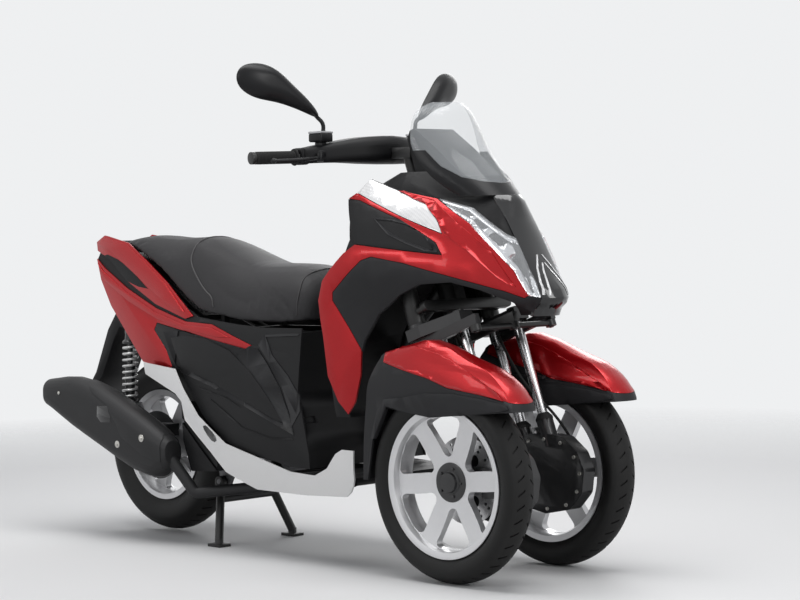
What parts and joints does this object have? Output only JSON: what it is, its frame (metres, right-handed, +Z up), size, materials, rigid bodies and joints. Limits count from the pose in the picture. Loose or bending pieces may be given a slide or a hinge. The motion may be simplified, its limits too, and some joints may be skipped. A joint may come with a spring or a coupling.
{
  "type": "leaning reverse trike scooter",
  "caption": "Leaning scooter with two steered front wheels, one driven rear wheel, opening seat and centre stand.",
  "frame": {"origin": "on the floor, under the middle of the vehicle's length and width", "axes": "+X ahead, +Y to the rider's left, +Z up"},
  "size_m": [1.9086, 0.8178, 1.304],
  "materials": {
    "red_paint": "metallic dark red lacquer",
    "white_paint": "pearl white",
    "black_plastic": "black satin moulding",
    "grey_plastic": "dark grey satin moulding",
    "black_paint": "black frame paint",
    "clear": "clear moulded screen and lenses",
    "white_lens": "white translucent lens",
    "red_lens": "red lens",
    "cast_wheel": "silver painted casting",
    "steel": "ground steel",
    "tyre": "road tyre",
    "rubber": "black rubber",
    "seat_cover": "dark grey seat cover",
    "fork_metal": "silver and black fork castings",
    "engine_metal": "grey castings"
  },
  "bodies": {
    "chassis": {"leaning_arms": "black_paint", "steering_heads": "black_paint", "frame": "black_paint", "cowl_red": "red_paint", "cowl_side_vent": "black_plastic", "signal_lenses": "white_lens", "headlamps": "clear", "cowl_grey": "grey_plastic", "cowl_nose": "black_plastic", "cowl_liner": "black_plastic", "dash": "black_plastic", "windscreen": "clear", "tail_panels": "red_paint", "side_covers": "black_plastic", "body_liner": "black_plastic", "sills": "white_paint", "floorboard": "black_plastic", "storage_box": "black_plastic", "tail_lamp": "red_lens", "rear_fender": "black_plastic", "shocks": "steel", "engine": "engine_metal", "drive_case": "engine_metal", "radiator_cover": "black_plastic", "muffler": "black_paint"},
    "handlebar": {"handlebar": "black_paint", "grips": "rubber", "bar_cover": "black_plastic", "levers": "black_paint", "mirrors": "black_plastic"},
    "fork_left": {"fork_left": "fork_metal", "fender_left": "red_paint", "fender_skirt_left": "grey_plastic"},
    "fork_right": {"fork_right": "fork_metal", "fender_right": "red_paint", "fender_skirt_right": "grey_plastic"},
    "tie_rod": {"tie_rod": "black_paint"},
    "wheel_front_left": {"tyre_front_left": "tyre", "rim_front_left": "cast_wheel", "disc_front_left": "steel"},
    "wheel_front_right": {"tyre_front_right": "tyre", "rim_front_right": "cast_wheel", "disc_front_right": "steel"},
    "wheel_rear": {"tyre_rear": "tyre", "rim_rear": "cast_wheel"},
    "seat": {"seat": "seat_cover", "seat_base": "black_paint"},
    "centre_stand": {"centre_stand": "black_paint"}
  },
  "joints": [
    {"name": "steering", "type": "hinge", "parent": "chassis", "child": "handlebar", "pos_m": [0.7705, 0, 0], "axis": [-0.342, 0, 0.9397], "range_deg": [-30, 30]},
    {"name": "fork_left", "type": "hinge", "parent": "chassis", "child": "fork_left", "pos_m": [0.7705, 0.14, 0], "axis": [-0.342, 0, 0.9397], "range_deg": [-30, 30]},
    {"name": "fork_right", "type": "hinge", "parent": "chassis", "child": "fork_right", "pos_m": [0.7705, -0.14, 0], "axis": [-0.342, 0, 0.9397], "range_deg": [-30, 30]},
    {"name": "tie_rod", "type": "hinge", "parent": "fork_left", "child": "tie_rod", "pos_m": [0.74195, 0.14, 0.62812], "axis": [-0.342, 0, 0.9397], "range_deg": [-30, 30]},
    {"name": "wheel_front_left", "type": "hinge", "parent": "fork_left", "child": "wheel_front_left", "pos_m": [0.7025, 0.1925, 0.25], "axis": [0, 1, 0], "continuous": true},
    {"name": "wheel_front_right", "type": "hinge", "parent": "fork_right", "child": "wheel_front_right", "pos_m": [0.7025, -0.1925, 0.25], "axis": [0, 1, 0], "continuous": true},
    {"name": "wheel_rear", "type": "hinge", "parent": "chassis", "child": "wheel_rear", "pos_m": [-0.6075, 0, 0.257], "axis": [0, 1, 0], "continuous": true},
    {"name": "seat", "type": "hinge", "parent": "chassis", "child": "seat", "pos_m": [0.1225, 0, 0.619], "axis": [0, 1, 0], "range_deg": [0, 48]},
    {"name": "centre_stand", "type": "hinge", "parent": "chassis", "child": "centre_stand", "pos_m": [-0.2975, 0, 0.172], "axis": [0, 1, 0], "range_deg": [0, 95]}
  ],
  "couplings": [
    {"joint": "fork_left", "follows": "steering", "ratio": 1},
    {"joint": "fork_right", "follows": "steering", "ratio": 1},
    {"joint": "tie_rod", "follows": "steering", "ratio": -1}
  ]
}
